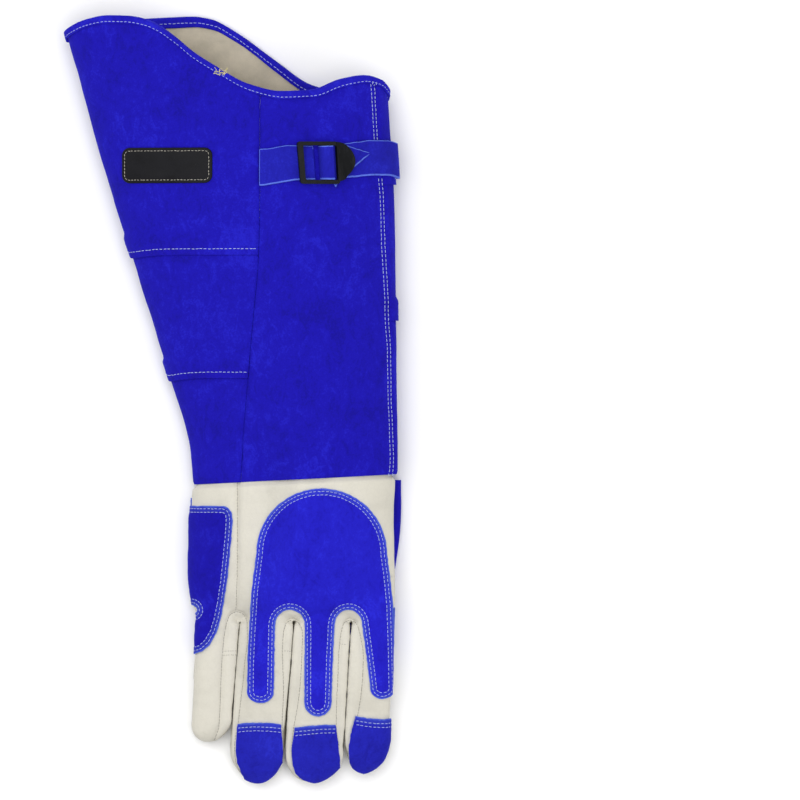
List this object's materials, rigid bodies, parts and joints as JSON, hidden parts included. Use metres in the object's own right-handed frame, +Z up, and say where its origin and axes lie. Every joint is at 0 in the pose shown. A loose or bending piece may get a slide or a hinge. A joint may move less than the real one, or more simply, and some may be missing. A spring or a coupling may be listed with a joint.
{
  "type": "animal handling glove",
  "caption": "Long gauntlet glove for the right hand, lying palm down with a wide sleeve, a strap with a ladder buckle and suede patches on a grain leather hand.",
  "frame": {"origin": "under the middle of the glove, on the surface that it lies on", "axes": "+Y from the fingertips to the mouth of the cuff, +X to the thumb side, +Z up out of the back of the hand"},
  "size_m": [0.2628, 0.5993, 0.0718],
  "materials": {
    "blue_suede": "napped split leather",
    "cream_leather": "soft pebbled grain",
    "lining_cloth": "plain cotton cloth",
    "label_leather": "matt pressed leather",
    "buckle_plastic": "moulded plastic"
  },
  "bodies": {
    "root": {"cuff_back_panel": "blue_suede", "cuff_side_upper": "blue_suede", "cuff_side_middle": "blue_suede", "cuff_side_lower": "blue_suede", "cuff_palm_upper": "blue_suede", "cuff_palm_middle": "blue_suede", "cuff_palm_lower": "blue_suede", "rim_binding": "blue_suede", "strap_anchor": "blue_suede", "strap_tail": "blue_suede", "hanging_loop": "blue_suede", "thumb": "blue_suede", "back_patch": "blue_suede", "side_patch": "blue_suede", "palm_patch": "blue_suede", "fingertip_ring": "blue_suede", "fingertip_middle": "blue_suede", "fingertip_index": "blue_suede", "hand_back": "cream_leather", "hand_palm": "cream_leather", "finger_gusset_little": "cream_leather", "finger_gusset_ring": "cream_leather", "finger_gusset_middle": "cream_leather", "finger_front_ring": "cream_leather", "finger_front_middle": "cream_leather", "cuff_lining": "lining_cloth", "label_patch": "label_leather", "buckle": "buckle_plastic", "finger_front_little": "cream_leather", "finger_front_index": "cream_leather", "finger_back_ring": "cream_leather", "finger_back_middle": "cream_leather", "finger_back_index": "cream_leather"}
  },
  "joints": []
}
